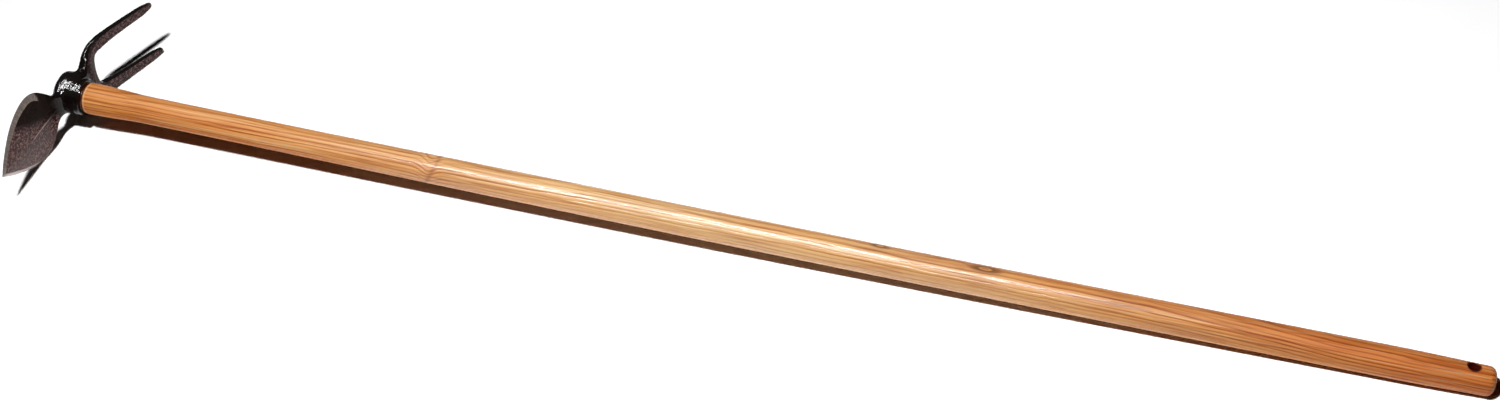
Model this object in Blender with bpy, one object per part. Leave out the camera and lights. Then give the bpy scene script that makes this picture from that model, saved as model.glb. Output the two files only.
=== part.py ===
"""Combination hoe: one drop-forged head with a leaf blade and a two-tine fork, on a long turned ash handle.

Sizes are millimetres while the shapes are worked out, and metres in the scene. Every shape is drawn in the
tool's own frame: `along` runs down the handle from the eye to the grip, `reach` runs from the handle's
centre line out to the blade, and `side` runs across the blade. The last section lays the tool down on a
flat floor, on the blade's lower edge, the lower tine and the butt of the handle.
"""

import math

import bmesh
import bpy
from mathutils import Matrix, Vector

MM = 0.001

# Handle
HANDLE_LENGTH = 1400.0  # from the middle of the eye to the butt
SHOULDER_DIAMETER = 31.8  # the swelling that seats against the mouth of the eye
NECK_DIAMETER = 27.5  # the slimmest place, just behind the shoulder
NECK_AT = 92.0
BODY_DIAMETER = 29.7  # the swelling under the hands
BODY_AT = 720.0
BUTT_DIAMETER = 27.4
BUTT_TAPER_FROM = 1315.0
HANDLE_BOW = 3.2  # the grown bow of the wood, towards the blade's side
BUTT_ROUNDING = 7.0
SHOULDER_ROUNDING = 4.5
HANG_HOLE_DIAMETER = 10.5
HANG_HOLE_INSET = 21.0  # from the butt to the middle of the hole
HANG_HOLE_EASING = 1.3
HANG_HOLE_TURN = 8.0  # degrees round the handle's axis that the hole stands off the blade's width

# Eye
EYE_DIAMETER = 38.4
EYE_BOSS = 4.6  # extra metal on the side that carries the fork
EYE_BACK = -10.0  # far rim of the eye, on the side away from the grip
EYE_BACK_ROUNDING = 4.0
EYE_MOUTH = 20.4
BORE_DIAMETER = 28.4
BORE_EASING = 1.1
FIT_GAP = 0.3  # left between pieces that touch
TENON_SHORT = 1.5  # how far the wood ends inside the far rim
COLLAR_WIDTH = 3.2  # the lip at the mouth, set off by a groove
GROOVE_WIDTH = 1.8
GROOVE_DEPTH = 1.1

# Wedges
KERF_WIDTH = 3.8  # at the end of the tenon, once the wedge is in
KERF_FLOOR_WIDTH = 1.8
KERF_DEPTH = 25.0
STEEL_WEDGE_THICK = 3.0
STEEL_WEDGE_EDGE = 1.0
STEEL_WEDGE_WIDTH = 16.0
STEEL_WEDGE_DEPTH = 14.0

# Blade
BLADE_REACH = 127.6
BLADE_WIDE_AT = 55.0
BLADE_HALF_WIDTH = 42.6
NECK_REACH = 20.5
NECK_HALF_WIDTH = 15.0
NECK_THICK = 11.4
NECK_SET = -3.5
BLADE_THICK = 3.6
TIP_THICK = 1.6
BEVEL_WIDTH = 4.8
BEVEL_FROM = 30.0  # where the grinding starts on the shoulder
EDGE_THICK = 0.8
EDGE_SET = -2.8  # where the cutting edge leaves the shoulder, along the handle
EDGE_TIP_SET = -1.4
EDGE_SWEEP = 6.2  # how far the edge bows back between the shoulder and the tip
EDGE_SWEEP_FROM = 33.0
CREST_SET = -0.7  # the front of the blade along its middle line
CREST_RISE = 0.8  # how much further forward it lies where the rib ends
RIB_HEIGHT = 1.7
RIB_HALF_WIDTH = 5.4  # at its root inside the plate
RIB_SLOPE = 25.0  # degrees from the plate to either flank
RIB_RISE = 1.3  # how far it climbs into the neck
RIB_START = 20.0
RIB_FADE_FROM = 42.0
RIB_END = 72.0

# Fork
TINE_SIDE = 30.3  # from the middle of the fork to the middle of each point
TINE_SPREAD = 5.4  # how much nearer together the tines are where they leave the web
TINE_REACH = 121.5
TINE_BEND_AT = 43.0
TINE_LEAN = 20.2  # degrees that the points lean towards the grip
FORK_SET = 5.4
FORK_ROOT_SET = 8.4
WEB_THICK = 10.0
CROTCH_REACH = 41.5
TINE_WIDTH = 12.8
TINE_THICK = 6.0
TINE_ROOT_EXTRA = 3.6  # extra thickness where a tine leaves the web
POINT_WIDTH = 8.9
POINT_THICK = 4.8

EYE_SIDES = 16
ROUND_STEPS = 48
HANDLE_STEPS = 44
GROOVE_STEPS = 46
SMOOTH_LEVEL = 2


def clear_scene():
    for found in list(bpy.data.objects):
        bpy.data.objects.remove(found, do_unlink=True)


def surface(name, colour, roughness, metallic):
    """A plain surface with its own name."""
    made = bpy.data.materials.new(name)
    made.use_nodes = True
    shader = made.node_tree.nodes["Principled BSDF"]
    shader.inputs["Base Color"].default_value = (*colour, 1.0)
    shader.inputs["Roughness"].default_value = roughness
    shader.inputs["Metallic"].default_value = metallic
    return made


def place(along, reach, side):
    """A point of the tool's own frame, in metres: the blade hangs towards -Y."""
    return Vector((along, -reach, side)) * MM


def blend(t):
    """0 to 1 with level ends."""
    t = min(1.0, max(0.0, t))
    return t * t * (3.0 - 2.0 * t)


def mix(low, high, t):
    return low + (high - low) * t


def finish_mesh(name, shape, material, parent):
    """Turns a bmesh into a named object with outward faces."""
    bmesh.ops.recalc_face_normals(shape, faces=shape.faces)
    mesh = bpy.data.meshes.new(name)
    shape.to_mesh(mesh)
    shape.free()
    made = bpy.data.objects.new(name, mesh)
    bpy.context.scene.collection.objects.link(made)
    if material:
        mesh.materials.append(material)
    made.parent = parent
    return made


def as_cutter(made):
    made.hide_render = True
    made.display_type = "WIRE"
    return made


def cut(target, cutter, name):
    made = target.modifiers.new(name, "BOOLEAN")
    made.operation = "DIFFERENCE"
    made.solver = "EXACT"
    made.object = cutter
    return made


def bridge(shape, first, second):
    """Quads between two rings of the same length."""
    count = len(first)
    for k in range(count):
        j = (k + 1) % count
        shape.faces.new((first[k], first[j], second[j], second[k]))


def crease(shape, layer, first, second, amount):
    found = shape.edges.get((first, second))
    if found:
        found[layer] = amount


def turned(name, profile, steps, material, parent, hollow=False, bow=None):
    """A solid turned round the handle's axis. profile lists (along, radius), with both ends closed.

    With hollow, the profile runs round in a loop, and the solid is a plain ring. bow gives how far the
    middle of a ring stands off the axis.
    """
    shape = bmesh.new()
    rings = []
    for along, radius in profile:
        middle = bow(along) if bow else 0.0
        ring = []
        for k in range(steps):
            angle = 2 * math.pi * k / steps
            point = place(along, middle + radius * math.cos(angle), radius * math.sin(angle))
            ring.append(shape.verts.new(point))
        rings.append(ring)
    for first, second in zip(rings, rings[1:]):
        bridge(shape, first, second)
    if hollow:
        bridge(shape, rings[-1], rings[0])
    else:
        shape.faces.new(rings[0])
        shape.faces.new(rings[-1])
    return finish_mesh(name, shape, material, parent)


def arc(centre_along, centre_radius, size, start, end, steps):
    """Points of a rounded corner, with the angles measured from the handle's axis, in degrees."""
    points = []
    for k in range(steps + 1):
        angle = math.radians(mix(start, end, k / steps))
        points.append((centre_along + size * math.cos(angle), centre_radius + size * math.sin(angle)))
    return points


# The leaf blade

def edge_half_width(reach):
    """Half the blade's width: shoulders that swell quickly out of the neck, then a leaf down to the tip."""
    if reach < BLADE_WIDE_AT:
        grown = max(0.0, (reach - NECK_REACH) / (BLADE_WIDE_AT - NECK_REACH))
        return mix(NECK_HALF_WIDTH, BLADE_HALF_WIDTH, math.sin(0.5 * math.pi * grown) ** 1.3)
    run = (reach - BLADE_WIDE_AT) / (BLADE_REACH - BLADE_WIDE_AT)
    return BLADE_HALF_WIDTH * (1.0 - min(1.0, run) ** 1.6)


def edge_set(reach):
    """Where the cutting edge lies along the handle: it bows back between the shoulder and the tip."""
    run = min(1.0, max(0.0, (reach - EDGE_SWEEP_FROM) / (BLADE_REACH - EDGE_SWEEP_FROM)))
    return mix(EDGE_SET, EDGE_TIP_SET, run) - EDGE_SWEEP * math.sin(math.pi * run)


def crest_line(reach):
    """Where the top of the rib lies along the handle, past the neck."""
    return CREST_SET + CREST_RISE * blend((reach - RIB_END + 22.0) / 22.0)


def plate_crest(reach):
    """Where the front of the plate lies on its middle line. The rib stands on it and fades out at its end."""
    height = RIB_HEIGHT * (1.0 - blend((reach - RIB_FADE_FROM) / (RIB_END - RIB_FADE_FROM)))
    towards_tip = blend((reach - RIB_END) / (BLADE_REACH - RIB_END))
    return mix(crest_line(reach) - height, EDGE_TIP_SET + EDGE_THICK, towards_tip)


def blade_section(shape, reach):
    """Twelve points round the blade: five on the front, one on an edge, five on the back, one on the other."""
    wide = edge_half_width(reach)
    ground = min(BEVEL_WIDTH * blend((reach - BEVEL_FROM) / 12.0), 0.42 * wide)
    edge = edge_set(reach)
    crest = plate_crest(reach)
    flat = blend((reach - NECK_REACH + 2.0) / 10.0)
    plate = mix(BLADE_THICK, TIP_THICK, blend((reach - RIB_END) / (BLADE_REACH - RIB_END)))
    thick = mix(NECK_THICK, plate, flat)
    front_line = wide - min(max(ground, 2.2), 0.45 * wide)
    back_line = wide - min(mix(2.2, 1.2, flat), 0.3 * wide)

    def front(u):
        leaf = mix(crest, edge + EDGE_THICK + 0.3 * ground, abs(u) ** 1.7)
        settled = blend((reach - NECK_REACH + 2.0) / (10.0 + 7.0 * (1.0 - abs(u))))
        return mix(NECK_SET + 0.5 * thick * (1.0 - 0.08 * u * u), leaf, settled)

    def back(u):
        leaf = mix(crest - plate, edge - 0.3, abs(u) ** 1.7)
        return mix(NECK_SET - 0.5 * thick * (1.0 - 0.08 * u * u), leaf, flat)

    rim = mix(NECK_SET, edge, flat)
    points = [(front(u), reach, u * front_line) for u in (1.0, 0.5, 0.0, -0.5, -1.0)]
    points.append((rim, reach, -wide))
    points += [(back(u), reach, u * back_line) for u in (-1.0, -0.5, 0.0, 0.5, 1.0)]
    points.append((rim, reach, wide))
    return [shape.verts.new(place(*point)) for point in points]


def rib(parent):
    """The low ridge that runs out of the neck and sinks into the plate, with its root inside the metal."""
    shape = bmesh.new()
    rings = []
    steps = 13
    top = 0.25
    for k in range(steps + 1):
        run = k / steps
        reach = mix(RIB_START, RIB_END, run)
        climb = RIB_RISE * (1.0 - blend((reach - RIB_START) / 7.0))
        crest = crest_line(reach) + climb - 0.6 * blend((run - 0.65) / 0.35)
        root = crest - math.tan(math.radians(RIB_SLOPE)) * (RIB_HALF_WIDTH - top)
        ring = [(crest, top), (root, RIB_HALF_WIDTH), (root, -RIB_HALF_WIDTH), (crest, -top)]
        rings.append([shape.verts.new(place(along, reach, side)) for along, side in ring])
    for first, second in zip(rings, rings[1:]):
        bridge(shape, first, second)
    shape.faces.new(rings[0])
    shape.faces.new(rings[-1])
    return as_cutter(finish_mesh("blade_rib", shape, None, parent))


# The fork

def tine_middle(reach):
    """The tine's middle along the handle: straight out of the web, then leaning to the grip past the bend."""
    past = reach - TINE_BEND_AT
    soft = 5.0
    beyond = 0.5 * (past + math.sqrt(past * past + soft * soft))
    return FORK_SET + math.tan(math.radians(TINE_LEAN)) * beyond


def tine_side(reach):
    """The tine's middle across the fork: it spreads out of the web and then runs nearly parallel."""
    return TINE_SIDE - TINE_SPREAD * math.exp((CROTCH_REACH - reach) / 14.0)


def tine_section(shape, reach, sign):
    """Six points round a tine: two on the front, one on its inner side, two on the back, one outside."""
    run = (reach - CROTCH_REACH) / (TINE_REACH - CROTCH_REACH)
    wide = mix(TINE_WIDTH, POINT_WIDTH, run)
    thick = mix(TINE_THICK, POINT_THICK, run) + TINE_ROOT_EXTRA * math.exp((CROTCH_REACH - reach) / 9.0)
    lean = math.radians(TINE_LEAN) * blend((reach - TINE_BEND_AT + 14.0) / 28.0)
    points = []
    for out, up in ((1, 1), (-1, 1), (-1.1, 0), (-1, -1), (1, -1), (1.1, 0)):
        along = tine_middle(reach) + 0.5 * thick * up * math.cos(lean)
        down = reach - 0.5 * thick * up * math.sin(lean)
        points.append((along, -down, sign * (tine_side(reach) + 0.5 * wide * out)))
    return [shape.verts.new(place(*point)) for point in points]


def web_section(shape, reach, half, inner, thick, hollow):
    """Twelve points round the web, in the order of the blade's sections. hollow draws its middle back."""
    skin = 0.5 * EYE_DIAMETER
    middle = mix(FORK_ROOT_SET, FORK_SET, blend((reach - skin) / (CROTCH_REACH - skin)))
    points = []
    for u in (1.0, inner, 0.0, -inner, -1.0):
        points.append((middle + 0.5 * thick, hollow * (1.0 - abs(u)) - reach, u * half * 0.95))
    points.append((middle, -reach, -half))
    for u in (-1.0, -inner, 0.0, inner, 1.0):
        points.append((middle - 0.5 * thick, hollow * (1.0 - abs(u)) - reach, u * half * 0.95))
    points.append((middle, -reach, half))
    return [shape.verts.new(place(*point)) for point in points]


def eye_radius(angle, boss):
    """Radius of the eye's outside: round on the blade's side, and fuller on the fork's side."""
    return 0.5 * EYE_DIAMETER + EYE_BOSS * boss * blend((0.15 - math.cos(angle)) / 0.8)


def patch_ring(rings, first_row, middle, turn):
    """The twelve cage points round the opening in the eye that a blade or a fork grows out of."""
    front, side, back = rings[first_row + 2], rings[first_row + 1], rings[first_row]
    spots = [(middle + turn * step) % EYE_SIDES for step in (2, 1, 0, -1, -2)]
    ring = [front[k] for k in spots]
    ring.append(side[spots[-1]])
    ring += [back[k] for k in reversed(spots)]
    ring.append(side[spots[0]])
    return ring


def build_head(material, parent):
    """The forging as one cage of quads, smoothed by subdivision: eye, neck, leaf blade, web and two tines."""
    shape = bmesh.new()
    layer = shape.edges.layers.float.new("crease_edge")
    inner = 0.5 * BORE_DIAMETER - 3.5
    edge = EYE_BACK_ROUNDING
    stations = (
        (EYE_BACK, None, 0.0),
        (EYE_BACK - 0.3, -0.75 * edge, 1.0),
        (EYE_BACK + edge, 0.0, 1.0),
        (mix(EYE_BACK, EYE_MOUTH, 0.24), 0.2, 1.0),
        (mix(EYE_BACK, EYE_MOUTH, 0.41), 0.0, 1.0),
        (mix(EYE_BACK, EYE_MOUTH, 0.61), 0.0, 0.9),
        (mix(EYE_BACK, EYE_MOUTH, 0.80), 0.0, 0.35),
        (EYE_MOUTH, -0.3, 0.0),
        (EYE_MOUTH, None, 0.0),
    )
    rings = []
    for along, grown, boss in stations:
        ring = []
        for k in range(EYE_SIDES):
            angle = 2 * math.pi * k / EYE_SIDES
            size = inner if grown is None else eye_radius(angle, boss) + grown
            ring.append(shape.verts.new(place(along, size * math.cos(angle), size * math.sin(angle))))
        rings.append(ring)
    blade_rows, fork_rows = (2, 3), (4, 5)
    for row in range(len(rings) - 1):
        for k in range(EYE_SIDES):
            j = (k + 1) % EYE_SIDES
            from_blade = min(k, EYE_SIDES - 1 - k) < 2
            from_fork = EYE_SIDES // 2 - 2 <= k < EYE_SIDES // 2 + 2
            if (row in blade_rows and from_blade) or (row in fork_rows and from_fork):
                continue
            shape.faces.new((rings[row][k], rings[row][j], rings[row + 1][j], rings[row + 1][k]))
    shape.faces.new(rings[0])
    shape.faces.new(rings[-1])
    for k in range(EYE_SIDES):
        crease(shape, layer, rings[-2][k], rings[-2][(k + 1) % EYE_SIDES], 0.8)

    # Neck and blade
    reaches = [mix(NECK_REACH, BLADE_WIDE_AT, share) for share in (0.0, 0.116, 0.29, 0.52, 0.8)]
    reaches += [mix(BLADE_WIDE_AT, BLADE_REACH, share) for share in (0.083, 0.33, 0.59, 0.806, 0.942)]
    last = patch_ring(rings, blade_rows[0], 0, 1)
    sections = []
    for reach in reaches:
        ring = blade_section(shape, reach)
        bridge(shape, last, ring)
        sections.append(ring)
        last = ring
    tip = [last[11]]
    for reach, side in ((BLADE_REACH - 1.9, 1.9), (BLADE_REACH + 0.3, 0.0), (BLADE_REACH - 1.9, -1.9)):
        tip.append(shape.verts.new(place(edge_set(BLADE_REACH), reach, side)))
    tip.append(last[5])
    for k in range(4):
        shape.faces.new((last[k], last[k + 1], tip[k + 1], tip[k]))
        shape.faces.new((tip[k], tip[k + 1], last[9 - k], last[10 - k]))
        crease(shape, layer, tip[k], tip[k + 1], 1.0)
        crease(shape, layer, last[k], last[k + 1], 1.0)
    for k, (first, second) in enumerate(zip(sections, sections[1:])):
        for corner, sharp_from in ((0, 3), (4, 3), (5, 2), (11, 2)):
            if k >= sharp_from:
                crease(shape, layer, first[corner], second[corner], 1.0)
            elif k == sharp_from - 1:
                crease(shape, layer, first[corner], second[corner], 0.5)

    # Web and tines
    last = patch_ring(rings, fork_rows[0], EYE_SIDES // 2, -1)
    split = tine_side(CROTCH_REACH) - 0.5 * TINE_WIDTH
    outer = tine_side(CROTCH_REACH + 2.0) + 0.55 * TINE_WIDTH
    for reach, half, thick, hollow in (
        (mix(0.5 * EYE_DIAMETER, CROTCH_REACH, 0.35), 0.85 * outer, WEB_THICK + 1.6, 0.0),
        (mix(0.5 * EYE_DIAMETER, CROTCH_REACH, 0.73), 0.95 * outer, WEB_THICK, 2.0),
        (CROTCH_REACH + 2.0, outer, TINE_THICK + TINE_ROOT_EXTRA, 6.0),
    ):
        ring = web_section(shape, reach, half, split / (0.95 * outer), thick, hollow)
        bridge(shape, last, ring)
        last = ring
    floor = []
    for spot in (1, 2, 3):
        front_corner, back_corner = last[spot], last[10 - spot]
        floor.append(shape.verts.new((front_corner.co + back_corner.co) / 2))
    for k in range(2):
        shape.faces.new((last[k + 1], last[k + 2], floor[k + 1], floor[k]))
        shape.faces.new((floor[k], floor[k + 1], last[8 - k], last[9 - k]))
    starts = {
        1: [last[0], last[1], floor[0], last[9], last[10], last[11]],
        -1: [last[4], last[3], floor[2], last[7], last[6], last[5]],
    }
    for sign, ring in starts.items():
        sharp = 0.3
        for share in (0.094, 0.194, 0.331, 0.544, 0.756, 0.931):
            following = tine_section(shape, mix(CROTCH_REACH, TINE_REACH, share), sign)
            bridge(shape, ring, following)
            for corner in (0, 1, 3, 4):
                crease(shape, layer, ring[corner], following[corner], sharp)
            ring = following
            sharp = 0.75
        point = tine_section(shape, TINE_REACH, sign)
        centre = sum((corner.co for corner in point), Vector()) / len(point)
        for corner in point:
            corner.co = centre + (corner.co - centre) * 0.6
        bridge(shape, ring, point)
        shape.faces.new((point[0], point[1], point[2], point[5]))
        shape.faces.new((point[5], point[2], point[3], point[4]))

    head = finish_mesh("head", shape, material, parent)
    smooth = head.modifiers.new("forged_blends", "SUBSURF")
    smooth.levels = SMOOTH_LEVEL
    smooth.render_levels = SMOOTH_LEVEL
    return head


def groove_cutter(parent):
    """The narrow groove that sets the collar off at the mouth."""
    low, high = EYE_MOUTH - COLLAR_WIDTH - GROOVE_WIDTH, EYE_MOUTH - COLLAR_WIDTH
    floor, far = 0.5 * EYE_DIAMETER - GROOVE_DEPTH, 0.5 * EYE_DIAMETER + EYE_BOSS + 2.0
    flare = 0.25 * (far - floor)
    profile = [(low + 0.4, floor), (high - 0.4, floor), (high + flare, far), (low - flare, far)]
    return as_cutter(turned("groove_cutter", profile, GROOVE_STEPS, None, parent, hollow=True))


def bore_cutter(parent):
    bore = 0.5 * BORE_DIAMETER
    profile = [
        (EYE_BACK - 12.0, bore + BORE_EASING),
        (EYE_BACK - 0.3, bore + BORE_EASING),
        (EYE_BACK + 1.6, bore),
        (EYE_MOUTH - 1.3, bore),
        (EYE_MOUTH + 0.2, bore + BORE_EASING),
        (EYE_MOUTH + 12.0, bore + BORE_EASING),
    ]
    return as_cutter(turned("bore_cutter", profile, ROUND_STEPS, None, parent))


def shaft_radius(along):
    """Radius of the handle between the shoulder and the butt."""
    if along < NECK_AT:
        run = (along - EYE_MOUTH - 10.0) / (NECK_AT - EYE_MOUTH - 10.0)
        return 0.5 * mix(SHOULDER_DIAMETER, NECK_DIAMETER, blend(run))
    if along < BUTT_TAPER_FROM:
        return 0.5 * mix(NECK_DIAMETER, BODY_DIAMETER, blend((along - NECK_AT) / (BODY_AT - NECK_AT)))
    run = (along - BUTT_TAPER_FROM) / (HANDLE_LENGTH - BUTT_TAPER_FROM)
    return 0.5 * mix(BODY_DIAMETER, BUTT_DIAMETER, blend(run))


def handle_bow(along):
    """How far the middle of the handle stands off its straight axis: not at all in the eye or at the butt."""
    run = max(0.0, (along - EYE_MOUTH) / (HANDLE_LENGTH - EYE_MOUTH))
    return HANDLE_BOW * math.sin(math.pi * run)


def build_handle(material, parent):
    """The turned ash handle: tenon, rounded shoulder, long swelling and rounded butt."""
    tenon = 0.5 * BORE_DIAMETER - FIT_GAP
    shoulder = EYE_MOUTH + FIT_GAP
    end = EYE_BACK + TENON_SHORT
    profile = [(end, tenon - 0.8), (end + 0.8, tenon), (shoulder, tenon)]
    full = 0.5 * SHOULDER_DIAMETER
    profile += arc(shoulder + SHOULDER_ROUNDING, full - SHOULDER_ROUNDING, SHOULDER_ROUNDING, 150.0, 90.0, 5)
    swelling = shoulder + SHOULDER_ROUNDING
    stations = [mix(swelling, NECK_AT, (k + 0.4) / 5) for k in range(5)]
    stations += [mix(NECK_AT, BUTT_TAPER_FROM, (k + 0.3) / 11) for k in range(11)]
    stations += [mix(BUTT_TAPER_FROM, HANDLE_LENGTH - BUTT_ROUNDING, k / 4) for k in range(4)]
    profile += [(along, shaft_radius(along)) for along in stations]
    butt = 0.5 * BUTT_DIAMETER
    profile += arc(HANDLE_LENGTH - BUTT_ROUNDING, butt - BUTT_ROUNDING, BUTT_ROUNDING, 84.0, 8.0, 6)
    profile.append((HANDLE_LENGTH, butt - BUTT_ROUNDING - 0.6))
    return turned("handle", profile, HANDLE_STEPS, material, parent, bow=handle_bow)


def hang_hole_cutter(parent):
    """A drill through the butt with eased rims."""
    shape = bmesh.new()
    turn = Matrix.Rotation(math.radians(-HANG_HOLE_TURN), 3, "X")
    hole = 0.5 * HANG_HOLE_DIAMETER
    at = HANDLE_LENGTH - HANG_HOLE_INSET
    skin = shaft_radius(at)
    rings = []
    profile = [
        (-skin - 4.0, hole + 4.0 + HANG_HOLE_EASING),
        (-skin + HANG_HOLE_EASING, hole),
        (skin - HANG_HOLE_EASING, hole),
        (skin + 4.0, hole + 4.0 + HANG_HOLE_EASING),
    ]
    steps = 32
    for side, size in profile:
        ring = []
        for k in range(steps):
            angle = 2 * math.pi * k / steps
            point = place(at + size * math.cos(angle), handle_bow(at) + size * math.sin(angle), side)
            ring.append(shape.verts.new(turn @ point))
        rings.append(ring)
    for first, second in zip(rings, rings[1:]):
        bridge(shape, first, second)
    shape.faces.new(rings[0])
    shape.faces.new(rings[-1])
    return as_cutter(finish_mesh("hang_hole_cutter", shape, None, parent))


def driven_wedge(name, depth, thick, edge_thick, wide, across_blade, gap, material, parent):
    """A tapered plate driven into the end of the tenon. A gap makes the slot that it sits in."""
    shape = bmesh.new()
    end = EYE_BACK + TENON_SHORT
    start = end - 6.0 if gap else end
    slope = (thick - edge_thick) / depth
    rows = []
    ends = ((start, thick + slope * (end - start)), (end + depth + gap, edge_thick - slope * gap))
    for along, size in ends:
        row = []
        for one, two in ((1, 1), (-1, 1), (-1, -1), (1, -1)):
            narrow, broad = one * (0.5 * size + gap), two * (0.5 * wide + gap)
            reach, side = (broad, narrow) if across_blade else (narrow, broad)
            row.append(shape.verts.new(place(along, reach, side)))
        rows.append(row)
    bridge(shape, rows[0], rows[1])
    shape.faces.new(rows[0])
    shape.faces.new(rows[1])
    made = finish_mesh(name, shape, material, parent)
    return as_cutter(made) if gap else made


def evaluated_points(piece, graph):
    """The points of a finished piece, as a plain list in the tool's own frame."""
    solid = piece.evaluated_get(graph)
    mesh = solid.to_mesh()
    points = [corner.co.copy() for corner in mesh.vertices]
    solid.to_mesh_clear()
    return points


def lay_down(tool, head, handle):
    """Turns the tool until the blade's lower edge, the lower tine and the butt stand on one level floor."""
    bpy.context.view_layer.update()
    graph = bpy.context.evaluated_depsgraph_get()
    head_points = evaluated_points(head, graph)
    handle_points = evaluated_points(handle, graph)
    groups = (
        [point for point in head_points if -point.y > EYE_DIAMETER * MM],
        [point for point in head_points if point.y > CROTCH_REACH * MM],
        [point for point in handle_points if point.x > 0.5 * HANDLE_LENGTH * MM],
    )
    turn = Matrix.Identity(3)
    for _ in range(12):
        feet = [min((turn @ point for point in group), key=lambda point: point.z) for group in groups]
        normal = (feet[1] - feet[0]).cross(feet[2] - feet[0]).normalized()
        if normal.z < 0.0:
            normal.negate()
        turn = normal.rotation_difference(Vector((0.0, 0.0, 1.0))).to_matrix() @ turn
        heading = turn @ Vector((1.0, 0.0, 0.0))
        turn = Matrix.Rotation(-math.atan2(heading.y, heading.x), 3, "Z") @ turn
    resting = [turn @ point for point in head_points + handle_points]
    low = [min(point[k] for point in resting) for k in range(3)]
    high = [max(point[k] for point in resting) for k in range(3)]
    centre = Vector(((low[0] + high[0]) / 2, (low[1] + high[1]) / 2, low[2]))
    tool.rotation_euler = turn.to_euler()
    tool.location = -centre


def main():
    clear_scene()
    tool = bpy.data.objects.new("tool_frame", None)
    bpy.context.scene.collection.objects.link(tool)

    forged = surface("forged_steel", (0.035, 0.028, 0.026), 0.42, 0.35)
    ash = surface("ash_wood", (0.62, 0.38, 0.18), 0.38, 0.0)
    beech = surface("wedge_wood", (0.45, 0.30, 0.17), 0.6, 0.0)
    bare = surface("wedge_steel", (0.35, 0.34, 0.33), 0.4, 0.9)

    head = build_head(forged, tool)
    join = head.modifiers.new("rib", "BOOLEAN")
    join.operation = "UNION"
    join.solver = "EXACT"
    join.object = rib(tool)
    cut(head, bore_cutter(tool), "bore")
    cut(head, groove_cutter(tool), "collar_groove")

    handle = build_handle(ash, tool)
    cut(handle, hang_hole_cutter(tool), "hang_hole")
    kerf = (KERF_DEPTH, KERF_WIDTH, KERF_FLOOR_WIDTH, BORE_DIAMETER - 2.0, False)
    steel = (STEEL_WEDGE_DEPTH, STEEL_WEDGE_THICK, STEEL_WEDGE_EDGE, STEEL_WEDGE_WIDTH, True)
    kerf_cutter = driven_wedge("kerf_cutter", *kerf[:3], BORE_DIAMETER + 6.0, False, FIT_GAP, None, tool)
    cut(handle, kerf_cutter, "kerf")
    slot = driven_wedge("steel_wedge_slot", *steel, FIT_GAP, None, tool)
    cut(handle, slot, "steel_wedge_slot")
    wood_wedge = driven_wedge("wood_wedge", *kerf, 0.0, beech, tool)
    cut(wood_wedge, slot, "steel_wedge_slot")
    driven_wedge("steel_wedge", *steel, 0.0, bare, tool)
    lay_down(tool, head, handle)


main()
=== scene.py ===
# %% [markdown]
# # Dressing a combination hoe
# A forged head is wedged onto a long ash handle, and the tool lies on its side on a white table.
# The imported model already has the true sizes. This lesson gives it the surfaces of the real one:
# black lacquer over forging scale, a ground cutting bevel, and clear lacquer over turned ash.

import math

import bpy
import numpy as np
from mathutils import Matrix, Vector, kdtree


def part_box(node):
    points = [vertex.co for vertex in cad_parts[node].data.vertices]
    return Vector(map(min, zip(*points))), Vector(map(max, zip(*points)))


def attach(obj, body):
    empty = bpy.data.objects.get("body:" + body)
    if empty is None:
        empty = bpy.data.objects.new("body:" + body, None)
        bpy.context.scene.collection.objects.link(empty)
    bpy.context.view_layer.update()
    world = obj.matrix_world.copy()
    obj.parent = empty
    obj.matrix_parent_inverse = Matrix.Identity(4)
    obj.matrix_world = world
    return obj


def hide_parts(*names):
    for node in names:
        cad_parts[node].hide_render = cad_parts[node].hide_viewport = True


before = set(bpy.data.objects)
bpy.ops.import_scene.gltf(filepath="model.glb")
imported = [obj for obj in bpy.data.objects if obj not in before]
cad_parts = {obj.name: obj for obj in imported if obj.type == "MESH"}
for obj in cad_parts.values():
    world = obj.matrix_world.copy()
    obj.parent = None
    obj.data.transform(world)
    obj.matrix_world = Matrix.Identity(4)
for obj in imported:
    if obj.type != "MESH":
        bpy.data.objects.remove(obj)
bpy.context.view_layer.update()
MM = 0.001
print("nodes in the model:", sorted(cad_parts))

# %% [markdown]
# ## Where the pieces lie
# The tool lies a little tilted, because the head is wider than the grip. The handle's own straight axis
# is needed twice: wood grain runs along it, and the lacquer bead sits square to it at the eye's mouth.
# In the tool's own frame a place is three numbers in millimetres: along the handle from the middle of
# the eye, towards the fork (the blade is on the minus side), and up.

# %% The handle's axis
# The eye's centre is in metres, as the scene is. The other lengths are in millimetres.
EYE_CENTRE = Vector((-0.6948, 0.0024, 0.0392))
HANDLE_TILT = math.radians(1.05)
HANDLE_ROLL = math.radians(-1.78)
HANDLE_LENGTH = 1400.0
EYE_MOUTH = 20.4
BORE_DIAMETER = 28.4

handle_turn = Matrix.Rotation(HANDLE_TILT, 4, "Y") @ Matrix.Rotation(HANDLE_ROLL, 4, "X")
handle_frame = Matrix.Translation(EYE_CENTRE) @ handle_turn


def in_tool_frame(point):
    """A point of the scene in millimetres: along the handle, towards the fork, and up."""
    return handle_frame.inverted() @ point / MM


low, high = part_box("handle")
print("handle runs from", [round(v, 3) for v in low], "to", [round(v, 3) for v in high])

# %% [markdown]
# ## The camera
# The picture was taken from in front and above, at about 46 degrees, with the handle running away a
# little to the lower right. A long lens keeps the far grip nearly as large as the near head.

# %% Camera
CAMERA_AT = Vector((0.39255, -1.23697, 1.39611))
AIMED_AT = Vector((0.00336, 0.06704, 0.0))
CAMERA_ROLL = math.radians(-1.52)
LENS_MM = 47.708
SENSOR_MM = 36.0


def facing(place, aim):
    """Puts a camera or a lamp at a place and turns it to face another."""
    return Matrix.Translation(place) @ (aim - place).to_track_quat("-Z", "Y").to_matrix().to_4x4()


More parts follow.
